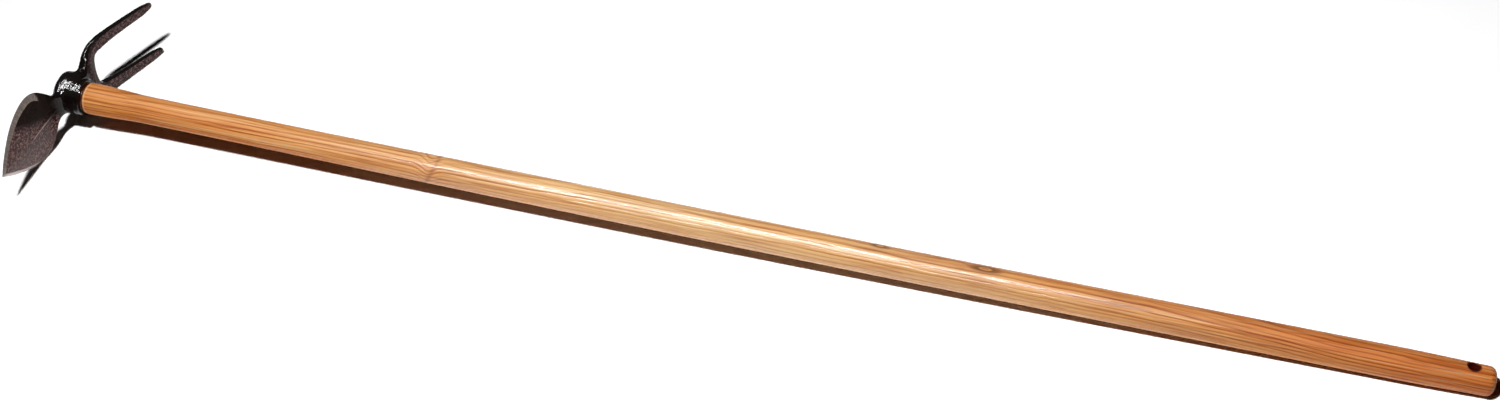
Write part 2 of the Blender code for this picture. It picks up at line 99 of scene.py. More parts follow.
camera = bpy.data.objects.new("camera", bpy.data.cameras.new("camera"))
bpy.context.scene.collection.objects.link(camera)
camera.data.lens = LENS_MM
camera.data.sensor_width = SENSOR_MM
camera.matrix_world = facing(CAMERA_AT, AIMED_AT) @ Matrix.Rotation(CAMERA_ROLL, 4, "Z")
bpy.context.scene.camera = camera
print("camera looks down by", round(math.degrees(math.asin((CAMERA_AT - AIMED_AT).normalized().z)), 1))

# %% [markdown]
# ## Helpers for modelling
# Operators act on everything that is selected, so each step starts with a clean selection. The model's
# nodes are loose triangles and stay as they are. A piece that takes a node's place starts as a copy of
# it, whose triangles are merged into one skin.

# %% Selection and copies
SAME_POINT = 0.002
FLAT_PAIR = math.radians(25)
SQUARE_PAIR = math.radians(40)


def only(piece):
    """Selects this piece alone and makes it active."""
    bpy.ops.object.select_all(action="DESELECT")
    piece.select_set(True)
    bpy.context.view_layer.objects.active = piece


def settle_place(piece):
    """Moves a piece's place, turn and size into its mesh."""
    only(piece)
    bpy.ops.object.transform_apply(location=True, rotation=True, scale=True)


def merged_copy(node, name):
    """A copy of a node of the model with its loose triangles merged into one skin."""
    only(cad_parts[node])
    bpy.ops.object.duplicate()
    piece = bpy.context.view_layer.objects.active
    piece.name = piece.data.name = name
    bpy.ops.object.mode_set(mode="EDIT")
    bpy.ops.mesh.select_all(action="SELECT")
    bpy.ops.mesh.remove_doubles(threshold=SAME_POINT * MM)
    bpy.ops.mesh.tris_convert_to_quads(face_threshold=FLAT_PAIR, shape_threshold=SQUARE_PAIR)
    bpy.ops.object.mode_set(mode="OBJECT")
    piece.data.materials.clear()
    print(name, "has", len(piece.data.polygons), "faces")
    return piece


# %% [markdown]
# ## Helpers for materials
# Colours are picked as they look on a screen, in sRGB, and the shader wants them linear, so one function
# turns them over. Another adds a node of any kind with its settings and its links, and gives back the
# output that the next node needs.

# %% Nodes
def linear(hex_colour):
    """A screen colour such as "d9a870" as the linear colour that a shader takes."""
    parts = [int(hex_colour[k:k + 2], 16) / 255 for k in (0, 2, 4)]
    return [c / 12.92 if c <= 0.04045 else ((c + 0.055) / 1.055) ** 2.4 for c in parts] + [1.0]


def fill(tree, node, inputs):
    """Gives each named or numbered input of a node a link, a screen colour or a plain value."""
    for name, value in inputs.items():
        if isinstance(value, bpy.types.NodeSocket):
            tree.links.new(value, node.inputs[name])
        else:
            node.inputs[name].default_value = linear(value) if isinstance(value, str) else value


def add(tree, kind, inputs=(), out=0, stops=(), smooth="LINEAR", **settings):
    """Adds a node. inputs come in order, or by name. A ramp's stops are screen colours or greys."""
    node = tree.nodes.new("ShaderNode" + kind)
    for name, value in settings.items():
        setattr(node, name, value)
    if stops:
        band = node.color_ramp
        while len(band.elements) < len(stops):
            band.elements.new(0.5)
        for element, (position, colour) in zip(band.elements, stops):
            element.position = position
            element.color = linear(colour) if isinstance(colour, str) else (colour, colour, colour, 1.0)
        band.interpolation = smooth
    fill(tree, node, inputs if isinstance(inputs, dict) else dict(enumerate(inputs)))
    return node.outputs[out]


def new_material(name):
    """A new material, its tree and its Principled shader."""
    material = bpy.data.materials.new(name)
    material.use_nodes = True
    return material, material.node_tree, material.node_tree.nodes["Principled BSDF"]


# %% [markdown]
# ## Patterns in millimetres
# Every pattern is worked out from a place in the tool's own frame, so its grains have a real size and
# run with the handle. Layers of colour are laid over one another from the lowest up: the marks of wood
# and metal, and also painted shade, highlights and reflections.

# %% Patterns
def tool_place(tree):
    """Where a point of the surface lies, in millimetres, with X along the handle from the eye."""
    here = add(tree, "TexCoord", out="Object")
    turn = (0.0, HANDLE_TILT, 0.0)
    inputs = {"Vector": here, "Location": EYE_CENTRE, "Rotation": turn, "Scale": (MM, MM, MM)}
    return add(tree, "Mapping", inputs, vector_type="TEXTURE")


def grains(tree, place, sizes, detail=2.0, roughness=0.5):
    """Noise from 0 to 1 with grains of the given sizes in millimetres."""
    shares = [1.0 / size for size in sizes]
    shrunk = add(tree, "VectorMath", (place, shares), operation="MULTIPLY")
    inputs = {"Vector": shrunk, "Scale": 1.0, "Detail": detail, "Roughness": roughness}
    return add(tree, "TexNoise", inputs, out="Fac")


def wandering(tree, place, sizes, width):
    """A value that wanders about zero, over the given width from its least to its greatest."""
    wave = grains(tree, place, sizes)
    return add(tree, "MapRange", (wave, 0.0, 1.0, -0.5 * width, 0.5 * width), clamp=False)


def hump(tree, value, middle, width, height=1.0):
    """A smooth hump of a height, highest where the value is at its middle, and 0 two widths away."""
    away = add(tree, "Math", (value, 1.0 / width, -middle / width), operation="MULTIPLY_ADD")
    square = add(tree, "Math", (away, away), operation="MULTIPLY")
    fall = add(tree, "Math", (square, -1.0), operation="MULTIPLY")
    bell = add(tree, "Math", (fall,), operation="EXPONENT")
    return add(tree, "Math", (bell, height), operation="MULTIPLY")


def layered(tree, colour, *layers):
    """Lays colours over a first one. A layer is its share, its colour and how it mixes."""
    for share, over, how in layers:
        inputs = {0: share, 6: colour, 7: over}
        colour = add(tree, "Mix", inputs, out=2, data_type="RGBA", blend_type=how)
    return colour


# %% [markdown]
# ## The handle
# The real one is turned from straight-grained ash and dipped in clear lacquer. It could be spun anew from
# a profile, but the model's solid already has the long swelling, the rounded butt and the drilled hole.
# So its skin is copied, merged and shaded smooth, and only the hole's rim and the tenon's corners stay
# as edges.

# %% Handle
HANDLE_SHARP = math.radians(30)

handle = merged_copy("handle", "turned_handle")
only(handle)
bpy.ops.object.shade_smooth_by_angle(angle=HANDLE_SHARP)
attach(handle, "root")
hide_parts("handle")

# %% [markdown]
# ## The rings of the ash
# Ash shows a dark line of open pores for each year, with pale dense wood between. On a turned rod the
# lines run lengthwise where the blade-side faces the rings edge-on, and form long pointed arches on the
# upper side, where the rings lie flat. Real rings are shells in space, so the grain is made the same way:
# a ring number is worked out from the place in the wood, and every line, arch and end-grain arc follows.
# A tree isn't straight, so its bends move the rings too, and round a knot they swell.

# %% Depth in the trunk
RING_SPACING = 3.5
SIDE_OF_FLAT_GRAIN = (0.66, 0.75)
PITH_DISTANCE = 70.0
TRUNK_BEND = 16.0
TRUNK_LINE = (
    (0.0, 0.62), (0.16, 0.34), (0.30, 0.42), (0.45, 0.16),
    (0.62, 0.2), (0.76, 0.12), (0.88, 0.6), (1.0, 0.9),
)
BEND_SIZES, BEND_WIDTH = (150.0, 26.0, 26.0), 7.0
RIPPLE_SIZES, RIPPLE_WIDTH = (30.0, 9.0, 9.0), 1.1


def trunk_depth(tree, place, along):
    """How deep a point lies in the trunk, in millimetres: in a straight trunk, and in this one."""
    across, upward = SIDE_OF_FLAT_GRAIN
    straight = add(tree, "VectorMath", (place, (0.0, across, upward)), out="Value", operation="DOT_PRODUCT")
    aside = add(tree, "VectorMath", (place, (0.0, upward, -across)), out="Value", operation="DOT_PRODUCT")
    square = add(tree, "Math", (aside, aside), operation="MULTIPLY")
    depth = add(tree, "Math", (square, 0.5 / PITH_DISTANCE, straight), operation="MULTIPLY_ADD")
    run = add(tree, "Math", (along, HANDLE_LENGTH), operation="DIVIDE")
    trunk = add(tree, "ValToRGB", (run,), stops=TRUNK_LINE, smooth="B_SPLINE")
    depth = add(tree, "Math", (trunk, TRUNK_BEND, depth), operation="MULTIPLY_ADD")
    for sizes, width in ((BEND_SIZES, BEND_WIDTH), (RIPPLE_SIZES, RIPPLE_WIDTH)):
        depth = add(tree, "Math", (depth, wandering(tree, place, sizes, width)), operation="ADD")
    return straight, depth


# %% [markdown]
# ## Knots, a healed scar and the hole
# Two small branches once stood on the upper side, far down the handle, and each left a dark-rimmed eye.
# Nearer the head a healed scar crosses the grain, slanting. In and just round the drilled hole the wood is
# darkened as painted shade. Each could be painted on, but then the rings would run through it, so each is
# a distance from a place. For the knots and the scar it bends the rings and tints the wood alike; for the
# hole it only tints.

# %% Places in the wood
SCAR_AT = 396.0
SCAR_SLANT = 0.5
KNOTS = ((Vector((942.0, -0.8, 14.6)), 1.0), (Vector((842.0, 2.0, 14.4)), 1.5))
KNOT_SHAPE = (0.34, 1.0, 0.5)
HOLE_AT = 1379.0
HOLE_RADIUS = 5.25
ACROSS_HOLE = (0.0, 0.99, -0.14)
# How far past the hole's rim the painted shade starts to fade, and where it ends.
SHADE_PAST_HOLE = (0.6, 1.9)


def knot_distance(tree, place):
    """Distance from the nearer knot, shorter along the grain than across it, and more for a small knot."""
    distances = []
    for middle, smallness in KNOTS:
        away = add(tree, "VectorMath", (place, middle), operation="SUBTRACT")
        shape = [share * smallness for share in KNOT_SHAPE]
        drawn = add(tree, "VectorMath", (away, shape), operation="MULTIPLY")
        distances.append(add(tree, "VectorMath", (drawn,), out="Value", operation="LENGTH"))
    return add(tree, "Math", distances, operation="MINIMUM")


def hole_painted_shade(tree, place, along):
    """The share of painted shade: 1 in the drilled hole, fading to 0 just outside its rim."""
    beside = add(tree, "VectorMath", (place, ACROSS_HOLE), out="Value", operation="DOT_PRODUCT")
    away = add(tree, "Math", (along, HOLE_AT), operation="SUBTRACT")
    from_hole = add(tree, "CombineXYZ", (beside, away))
    distance = add(tree, "VectorMath", (from_hole,), out="Value", operation="LENGTH")
    start, end = (HOLE_RADIUS + past for past in SHADE_PAST_HOLE)
    return add(tree, "MapRange", (distance, start, end, 1.0, 0.0))


# %% Dark lines of pores
PORES_THROUGH_YEAR = ((0.0, 1.0), (0.2, 0.8), (0.45, 0.12), (0.88, 0.0), (1.0, 1.0))
PALEST_YEAR = 0.3
SCAR_SWELL, SCAR_SWELL_WIDTH = 5.0, 9.0
KNOT_SWELL, KNOT_SWELL_WIDTH = 4.5, 3.4


def ring_lines(tree, depth, along, knot):
    """1 on a year's line of pores, less in a dry year and 0 in the dense wood between."""
    by_scar = hump(tree, along, SCAR_AT, SCAR_SWELL_WIDTH, SCAR_SWELL)
    by_knot = hump(tree, knot, 0.0, KNOT_SWELL_WIDTH, KNOT_SWELL)
    for swelling in (by_scar, by_knot):
        depth = add(tree, "Math", (depth, swelling), operation="ADD")
    years = add(tree, "Math", (depth, RING_SPACING), operation="DIVIDE")
    season = add(tree, "Math", (years,), operation="FRACT")
    pores = add(tree, "ValToRGB", (season,), stops=PORES_THROUGH_YEAR)
    year = add(tree, "Math", (years,), operation="FLOOR")
    weather = add(tree, "TexWhiteNoise", {"W": year}, out="Value", noise_dimensions="1D")
    strength = add(tree, "MapRange", (weather, 0.0, 1.0, PALEST_YEAR, 1.0))
    return add(tree, "Math", (pores, strength), operation="MULTIPLY")


# %% [markdown]
# ## Lacquered ash
# The wood is straw-coloured in the middle of the handle and redder at the head and at the grip. Towards the
# grip its colour is also painted lighter, to make up for the lamp being farther off. Over the years' lines
# lie finer strands, pale streaks and short pore flecks. Beside the eye the wood is paler along a thin line,
# and darker in the corner at the eye's mouth. The lacquer gleams along the middle of the handle: near the
# head it lies thin, and at the grip it is rubbed dull. So its share follows the way along the handle.
# Real pores are some 0.3 mm wide and a dot of the picture is about 1.5 mm, so the strands and flecks are
# drawn a few times as coarse as they are, or they wouldn't show.

# %% Colours of the wood
# Towards the grip the colours are also painted lighter, to make up for the lamp's weaker light there.
WOOD = (
    (0.0, "cc8440"), (0.12, "d6955a"), (0.30, "dfab72"), (0.45, "eac28a"),
    (0.68, "deaa70"), (0.82, "dc9a5c"), (0.92, "d48246"), (1.0, "d07c3c"),
)
PORE_LINES = (
    (0.0, "8e4a14"), (0.12, "985420"), (0.30, "a0642a"), (0.45, "a87036"),
    (0.70, "a2642a"), (0.82, "985220"), (0.92, "964c1a"), (1.0, "904814"),
)
SLANT_OF_COLOURS = 7.0
COLOUR_SIZES, COLOUR_WANDER = (90.0, 9.0, 9.0), 190.0
STRAND_SIZES = (70.0, 2.0, 2.0)
STREAK_SIZES = (150.0, 2.6, 2.6)
FLECK_SIZES = (16.0, 0.7, 0.7)
CLOUD_SIZES = (120.0, 14.0, 14.0)
SCAR_WIDTH, SCAR_SHARE = 2.4, 0.5
HIGH_SIDE_WAVE, HIGH_SIDE_DEPTH, HIGH_SIDE_SHARE = 0.03, (8.0, 12.0), 0.26
KNOT_RIM_REACH = 8.0
KNOT_RIM = ((0.2, 0.0), (0.32, 0.8), (0.5, 0.56), (0.8, 0.0))
# A paler thin line beside the eye, and darker wood in the corner at its mouth.
PALE_LINE_AT, PALE_LINE_WIDTH, PALE_LINE_SHARE = 24.3, 0.9, 0.5
MOUTH_REACH = 60.0
MOUTH_DARKENING = ((0.345, 1.0), (0.37, 0.7), (0.40, 0.0))

# Each share below runs between two values of its noise, from the third number to the fourth.
STRAND_SHARE = (0.34, 0.56, 0.6, 0.0)
STREAK_SHARE = (0.55, 0.75, 0.0, 0.35)
FLECK_SHARE = (0.27, 0.38, 0.75, 0.0)
CLOUD_SHARE = (0.35, 0.7, 0.0, 0.3)


def wood_colour(tree, place, pores, strand, knot, straight):
    """The colour of the wood under its lacquer, laid on from the bare wood up to its marks, the painted
    shade in the hole and the darker corner at the eye.
    """
    along, _, up = add(tree, "SeparateXYZ", (place,), out=slice(3))
    leaning = add(tree, "Math", (straight, SLANT_OF_COLOURS, along), operation="MULTIPLY_ADD")
    wander = wandering(tree, place, COLOUR_SIZES, COLOUR_WANDER)
    zone = add(tree, "Math", (leaning, wander), operation="ADD")
    zone = add(tree, "Math", (zone, HANDLE_LENGTH), operation="DIVIDE")
    wood = add(tree, "ValToRGB", (zone,), stops=WOOD)
    lines = add(tree, "ValToRGB", (zone,), stops=PORE_LINES)

    strands = add(tree, "MapRange", (strand, *STRAND_SHARE))
    streaks = add(tree, "MapRange", (grains(tree, place, STREAK_SIZES, 1.0), *STREAK_SHARE))
    flecks = add(tree, "MapRange", (grains(tree, place, FLECK_SIZES, 1.0), *FLECK_SHARE))
    flecks = add(tree, "Math", (flecks, pores), operation="MULTIPLY")
    clouds = add(tree, "MapRange", (grains(tree, place, CLOUD_SIZES), *CLOUD_SHARE))

    across_grain = add(tree, "Math", (up, -SCAR_SLANT, along), operation="MULTIPLY_ADD")
    scar = hump(tree, across_grain, SCAR_AT, SCAR_WIDTH, SCAR_SHARE)
    wavy_depth = add(tree, "Math", (wander, HIGH_SIDE_WAVE, straight), operation="MULTIPLY_ADD")
    high_side = add(tree, "MapRange", (wavy_depth, *HIGH_SIDE_DEPTH, 0.0, HIGH_SIDE_SHARE))
    by_knot = add(tree, "Math", (knot, KNOT_RIM_REACH), operation="DIVIDE")
    knot_rim = add(tree, "ValToRGB", (by_knot,), stops=KNOT_RIM)
    pale_line = hump(tree, along, PALE_LINE_AT, PALE_LINE_WIDTH, PALE_LINE_SHARE)
    by_mouth = add(tree, "Math", (along, MOUTH_REACH), operation="DIVIDE")
    mouth_darkening = add(tree, "ValToRGB", (by_mouth,), stops=MOUTH_DARKENING)
    return layered(
        tree,
        wood,
        (pores, lines, "MIX"),
        (strands, "b87440", "MULTIPLY"),
        (streaks, "f8d8a4", "MIX"),
        (flecks, "7a431d", "MIX"),
        (clouds, "f0cf9a", "SOFT_LIGHT"),
        (scar, "8c4a1e", "MIX"),
        (high_side, "cc7a36", "MIX"),
        (knot_rim, "5e2c10", "MIX"),
        # Painted shade in and round the drilled hole.
        (hole_painted_shade(tree, place, along), "5a2810", "MULTIPLY"),
        # A paler thin line beside the eye, and darker wood in the corner at its mouth.
        (pale_line, "f6c896", "MIX"),
        (mouth_darkening, "6f2c16", "MULTIPLY"),
    )


# %% Ash under clear lacquer
LACQUER_IOR = 1.5
COAT_ROUGH = 0.17
SATIN_SIZES, SATIN_ROUGH = (40.0, 6.0, 6.0), (0.3, 0.7, 0.42, 0.58)
GLEAM_STARTS, GLEAM_SHARES = (200.0, 480.0), (0.05, 0.45)
GLEAM_FADES, RUBBED_SHARE = (900.0, 1260.0), 0.25
LEAST_SHINE = 0.05
STRAND_HEIGHT, PORE_HEIGHT = 0.7, -0.8
WOOD_RELIEF, WOOD_RELIEF_STRENGTH = 0.4, 0.6


def lacquered_ash(name):
    """Turned ash, dipped in clear lacquer: a satin wood with a smoother coat where it gleams."""
    material, tree, shader = new_material(name)
    place = tool_place(tree)
    along = add(tree, "SeparateXYZ", (place,))
    knot = knot_distance(tree, place)
    straight, depth = trunk_depth(tree, place, along)
    pores = ring_lines(tree, depth, along, knot)
    strand = grains(tree, place, STRAND_SIZES, 3.0, 0.65)

    smooth_step = {"interpolation_type": "SMOOTHSTEP"}
    thick = add(tree, "MapRange", (along, *GLEAM_STARTS, *GLEAM_SHARES), **smooth_step)
    rubbed = add(tree, "MapRange", (along, *GLEAM_FADES, 1.0, RUBBED_SHARE), **smooth_step)
    gleam = add(tree, "Math", (thick, rubbed), operation="MULTIPLY")
    relief = add(tree, "Math", (strand, STRAND_HEIGHT), operation="MULTIPLY")
    relief = add(tree, "Math", (pores, PORE_HEIGHT, relief), operation="MULTIPLY_ADD")
    inputs = {"Height": relief, "Strength": WOOD_RELIEF_STRENGTH, "Distance": WOOD_RELIEF * MM}
    bump = add(tree, "Bump", inputs)
    fill(tree, shader, {
        "Base Color": wood_colour(tree, place, pores, strand, knot, straight),
        "Roughness": add(tree, "MapRange", (grains(tree, place, SATIN_SIZES), *SATIN_ROUGH)),
        "IOR": LACQUER_IOR,
        "Specular IOR Level": add(tree, "Math", (gleam, LEAST_SHINE), operation="ADD"),
        "Coat Weight": gleam,
        "Coat Roughness": COAT_ROUGH,
        "Coat IOR": LACQUER_IOR,
        "Normal": bump,
        "Coat Normal": bump,
    })
    return material


ash = lacquered_ash("lacquered_ash")
handle.data.materials.append(ash)
print(ash.name, "has", len(ash.node_tree.nodes), "nodes")

# %% [markdown]
# ## The forged head
# Eye, leaf blade and fork are one drop forging, without a seam. Its solid holds the whole form, and a
# second body built over it could only differ, so its skin is copied too. The blade's bevel and rib are
# low, so there an edge counts as sharp from a small angle, while the web and the tines flow over wider
# ones. Weighted normals keep the broad faces flat up to their corners.

# %% Sharp edges of the forging
LEAF_FROM = 34.0
LEAF_SHARP = math.radians(13)
FORGED_SHARP = math.radians(48)


def normals_at_edges(mesh):
    """The normals of the faces that meet at each edge."""
    normals = {}
    for polygon in mesh.polygons:
        for key in polygon.edge_keys:
            normals.setdefault(key, []).append(polygon.normal)
    return normals


def mark_sharp_edges(piece):
    """Marks the edges that stay crisp, with a smaller angle on the leaf than on the rest."""
    mesh = piece.data
    meeting = normals_at_edges(mesh)
    marked = 0
    for edge in mesh.edges:
        normals = meeting[edge.key]
        reach = -in_tool_frame(mesh.vertices[edge.vertices[0]].co).y
        limit = LEAF_SHARP if reach > LEAF_FROM else FORGED_SHARP
        edge.use_edge_sharp = len(normals) == 2 and normals[0].angle(normals[1]) > limit
        marked += edge.use_edge_sharp
    print("sharp edges on the forging:", marked)


# %% Head
head = merged_copy("head", "forged_head")
only(head)
bpy.ops.object.shade_smooth()
mark_sharp_edges(head)
bpy.ops.object.modifier_add(type="WEIGHTED_NORMAL")
head.modifiers[-1].keep_sharp = True
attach(head, "root")
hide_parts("head")

# %% [markdown]
# ## How far a point is from the cutting edge
# The last step in the works is grinding the bevel through the lacquer, so the bare strip follows the
# cutting edge at an even width, and its scratches stand square to it. The strip could be painted in by
# hand, but it is truer to measure: each point of the head is given its distance from the edge and its
# run along the edge, and the material reads both.

# %% Distance from the edge and run along it
BLADE_STARTS = 24.0
BLADE_MIDDLE = 65.0
MIDDLE_WIDTH = 9.0
TIP_FROM = 108.0
EDGE_ANGLE = math.radians(40)
THIRDS_OF_EDGE = (0.0, 0.33, 0.67)
LONGEST_STEP = 3.0


def cutting_edge_points(piece):
    """Points on the blade's sharp outline, in the tool's frame, read from the angle between faces."""
    mesh = piece.data
    points = []
    for (first, second), normals in normals_at_edges(mesh).items():
        if len(normals) != 2 or normals[0].angle(normals[1]) < EDGE_ANGLE:
            continue
        ends = [in_tool_frame(mesh.vertices[k].co) for k in (first, second)]
        reach = -0.5 * (ends[0].y + ends[1].y)
        aside = abs(0.5 * (ends[0].z + ends[1].z))
        if reach > BLADE_STARTS and (aside > MIDDLE_WIDTH or reach > TIP_FROM):
            points += [ends[0].lerp(ends[1], share) for share in THIRDS_OF_EDGE]
    return points


def write_edge_marks(piece):
    """Stores from_edge and along_edge on the points of the head, both in millimetres."""
    outline = cutting_edge_points(piece)
    turns = np.array([math.atan2(p.z, -p.y - BLADE_MIDDLE) for p in outline])
    ordered = [outline[k] for k in np.argsort(turns)]
    steps = [0.0] + [math.hypot(b.y - a.y, b.z - a.z) for a, b in zip(ordered, ordered[1:])]
    runs = np.cumsum(np.minimum(steps, LONGEST_STEP))
    near = kdtree.KDTree(len(ordered))
    for k, point in enumerate(ordered):
        near.insert(point, k)
    near.balance()
    from_edge = piece.data.attributes.new("from_edge", "FLOAT", "POINT")
    along_edge = piece.data.attributes.new("along_edge", "FLOAT", "POINT")
    for vertex in piece.data.vertices:
        _, index, distance = near.find(in_tool_frame(vertex.co))
        from_edge.data[vertex.index].value = distance
        along_edge.data[vertex.index].value = runs[index]
    print("cutting edge:", len(outline), "points,", round(float(runs[-1])), "mm round")


write_edge_marks(head)

# %% [markdown]
# ## The ground bevel
# The strip is widest at the blade's shoulders and slims towards the tip. On the low side of the blade
# the grinder took less. It is ground on the front only, and its border wavers a little, as handwork does.
# Ground steel is grey and satin, and its scratches spread a gleam sideways. The real ones are far finer
# than a dot of the picture, so they are drawn nearly 1 mm wide to show at all. On the low side a pale
# pink painted reflection lies over the steel.

# %% Where the steel is bare
BEVEL_FROM, BEVEL_FADE = 42.0, 4.0
TIP_AT = 116.0
BEVEL_WIDTH = (8.2, 3.8)
BORDER_SIZES, BORDER_WANDER = (9.0, 9.0, 9.0), 1.4
BORDER_SOFT = 0.3
LOW_SIDE_SHARE = 0.3
LOW_SIDE_SLIM = (60.0, 104.0)
LOW_SIDE_SOFT = 3.0
BACK_FROM = -0.2


def ground_share(tree, place, from_edge, low_side, front):
    """1 on the ground bevel and 0 on the lacquer, with a slightly uneven border."""
    fork = add(tree, "SeparateXYZ", (place,), out=1)
    reach = add(tree, "Math", (fork, -1.0), operation="MULTIPLY")
    width = add(tree, "MapRange", (reach, BEVEL_FROM, TIP_AT, *BEVEL_WIDTH))
    slim = add(tree, "MapRange", (reach, *LOW_SIDE_SLIM, LOW_SIDE_SHARE, 1.0))
    slim = add(tree, "MapRange", (low_side, 0.0, 1.0, 1.0, slim))
    width = add(tree, "Math", (width, slim), operation="MULTIPLY")
    wavering = wandering(tree, place, BORDER_SIZES, BORDER_WANDER)
    depth = add(tree, "Math", (from_edge, wavering), operation="ADD")
    past = add(tree, "Math", (depth, width), operation="SUBTRACT")
    border = (past, -BORDER_SOFT, BORDER_SOFT, 1.0, 0.0)
    inside = add(tree, "MapRange", border, interpolation_type="SMOOTHSTEP")
    started = (fork, -BEVEL_FROM, -BEVEL_FROM - BEVEL_FADE)
    on_blade = add(tree, "MapRange", started, interpolation_type="SMOOTHSTEP")
    in_front = add(tree, "Math", (front, BACK_FROM), operation="GREATER_THAN")
    ground = add(tree, "Math", (inside, on_blade), operation="MULTIPLY")
    return add(tree, "Math", (ground, in_front), operation="MULTIPLY")


# %% Bare steel
SCRATCH_WIDTH, SCRATCH_LENGTH = 0.9, 22.0
STEEL = ((0.32, "6c6360"), (0.5, "8d8480"), (0.7, "b3aaa4"))
# The share of a pale painted reflection on the bevel's low side.
LOW_SIDE_PAINTED_REFLECTION = 0.5


def ground_steel(tree, from_edge, low_side):
    """The colour of ground steel and its scratches, which run from the edge straight up the bevel, with a
    pale painted reflection on the low side.
    """
    along_edge = add(tree, "Attribute", out="Fac", attribute_name="along_edge")
    across = add(tree, "Math", (along_edge, SCRATCH_WIDTH), operation="DIVIDE")
    upward = add(tree, "Math", (from_edge, SCRATCH_LENGTH), operation="DIVIDE")
    place = add(tree, "CombineXYZ", (across, upward))
    inputs = {"Vector": place, "Scale": 1.0, "Detail": 3.0, "Roughness": 0.7}
    scratches = add(tree, "TexNoise", inputs, out="Fac")
    steel = add(tree, "ValToRGB", (scratches,), stops=STEEL)
    # The low side gets a pale pink painted reflection.
    shine = add(tree, "Math", (low_side, LOW_SIDE_PAINTED_REFLECTION), operation="MULTIPLY")
    return layered(tree, steel, (shine, "e8d8d4", "MIX")), scratches


# %% [markdown]
# ## Black lacquer over forging scale
# The head is dipped in thick black lacquer, so it gleams on the round eye and along the tines' edges.
# The flat faces carry rough scale under it, which spreads the light and looks brown-grey. Near the neck
# the blade is painted nearly black as shade, and so are the fork's faces that look upwards. The eye was
# turned round before it was dipped, and its low ridges break the gleam up. A pale painted highlight runs
# along the rib's crest. Scale has grains well under 1 mm. They are drawn 2.4 mm wide here, which is the
# least that shows in the picture.

# %% Colour of the scale
SCALE_SIZES = (2.4, 2.4, 2.4)
SCALE = ((0.40, "0c0606"), (0.50, "402c2a"), (0.60, "927470"))
BLOTCH_SIZES, BLOTCH_SHARE = (16.0, 16.0, 16.0), (0.4, 0.65, 0.0, 0.4)
LACQUER_BLACK = "0e0a09"
# How much of the scale's colour shows where painted shade makes a face nearly black.
DARK_FACE_SHARE = 0.06
# Where the painted highlight along the rib's crest rises and fades, and its width.
CREST_RISES, CREST_FADES, CREST_WIDTH = (38.0, 44.0), (62.0, 74.0), 0.7
# Where the painted shade by the neck fades out, and how much it darkens the fork's upward faces.
NECK_SLANT = 1.75
NECK_FADES = (28.0, 52.0)
FORK_TURNS_UP, FORK_LIGHT = (0.08, 0.26), (0.66, 0.2)


def rib_highlight(tree, up, reach, on_fork, front):
    """The share of a pale painted highlight: 1 along the front of the rib down the blade's middle, fading
    towards the tip.
    """
    crest = hump(tree, up, 0.0, CREST_WIDTH)
    shares = (
        add(tree, "MapRange", (reach, *CREST_RISES)),
        add(tree, "MapRange", (reach, *CREST_FADES, 1.0, 0.0)),
        add(tree, "Math", (1.0, on_fork), operation="SUBTRACT"),
        add(tree, "Math", (front, 0.0), operation="GREATER_THAN"),
    )
    for share in shares:
        crest = add(tree, "Math", (crest, share), operation="MULTIPLY")
    return crest


def lit_share(tree, up, reach, on_fork, turned_up):
    """1 where the scale shows brown-grey, and 0 where painted shade makes it black: by the neck and on the
    fork's upward faces.
    """
    leaning = add(tree, "Math", (up, -NECK_SLANT, reach), operation="MULTIPLY_ADD")
    off_neck = add(tree, "MapRange", (leaning, *NECK_FADES), interpolation_type="SMOOTHSTEP")
    fork_lit = add(tree, "MapRange", (turned_up, *FORK_TURNS_UP, *FORK_LIGHT))
    return add(tree, "Mix", {0: on_fork, 2: off_neck, 3: fork_lit})


def scale_colour(tree, place, scale_grain, crest, lit):
    """Brown-grey scale in blotches, with a painted highlight on the crest, or nearly black as painted shade
    where it isn't lit.
    """
    face = add(tree, "ValToRGB", (scale_grain,), stops=SCALE)
    blotch = add(tree, "MapRange", (grains(tree, place, BLOTCH_SIZES, 3.0), *BLOTCH_SHARE))
    # The rib's crest gets a pale painted highlight.
    face = layered(tree, face, (blotch, "443030", "MIX"), (crest, "ccbeb8", "MIX"))
    # Where a face isn't lit, painted shade makes it nearly black.
    dark_face = layered(tree, "0e0806", (DARK_FACE_SHARE, face, "MIX"))
    return layered(tree, dark_face, (lit, face, "MIX"))


# %% Lacquered forging with a ground bevel
FLAT_FACES = (0.64, 0.84)
FORK_SETBACK = 7.0
EYE_ENDS = (17.0, 32.0)
ROOT_AT, ROOT_WIDTH, ROOT_DULL = 30.0, 13.0, 0.47
DARK_DULL, LIT_DULL = 0.44, 0.22
LACQUER_SHINE, STEEL_SHINE = 0.5, 0.2
LACQUER_ROUGH, STEEL_ROUGH = 0.12, 0.42
SCALE_ROUGH = (0.3, 0.7, 0.45, 0.65)
STEEL_METAL = 0.9
FORGED_RELIEF, FORGED_RELIEF_STRENGTH = 0.6, 0.5
DENT_SIZES, DENT_HEIGHT = (7.0, 7.0, 7.0), 1.0
PEEL_SIZES, PEEL_HEIGHT = (1.6, 1.6, 1.6), 0.14
RIDGE_SIZES, RIDGE_HEIGHT = (3.2, 26.0, 26.0), 1.3
SCALE_HEIGHT, SCRATCH_HEIGHT = 0.35, 0.25


def forging_relief(tree, place, scaled, round_eye, bared, ground):
    """Heights of the dents, the lacquer's skin, the scale, the eye's ridges and the bevel's scratches."""
    dents = grains(tree, place, DENT_SIZES)
    peel = grains(tree, place, PEEL_SIZES)
    ridges = add(tree, "Math", (grains(tree, place, RIDGE_SIZES), round_eye), operation="MULTIPLY")
    relief = add(tree, "Math", (dents, DENT_HEIGHT), operation="MULTIPLY")
    for pattern, height in ((peel, PEEL_HEIGHT), (scaled, SCALE_HEIGHT), (ridges, RIDGE_HEIGHT)):
        relief = add(tree, "Math", (pattern, height, relief), operation="MULTIPLY_ADD")
    smooth = add(tree, "Math", (1.0, ground), operation="SUBTRACT")
    relief = add(tree, "Math", (relief, smooth), operation="MULTIPLY")
    return add(tree, "Math", (bared, SCRATCH_HEIGHT, relief), operation="MULTIPLY_ADD")


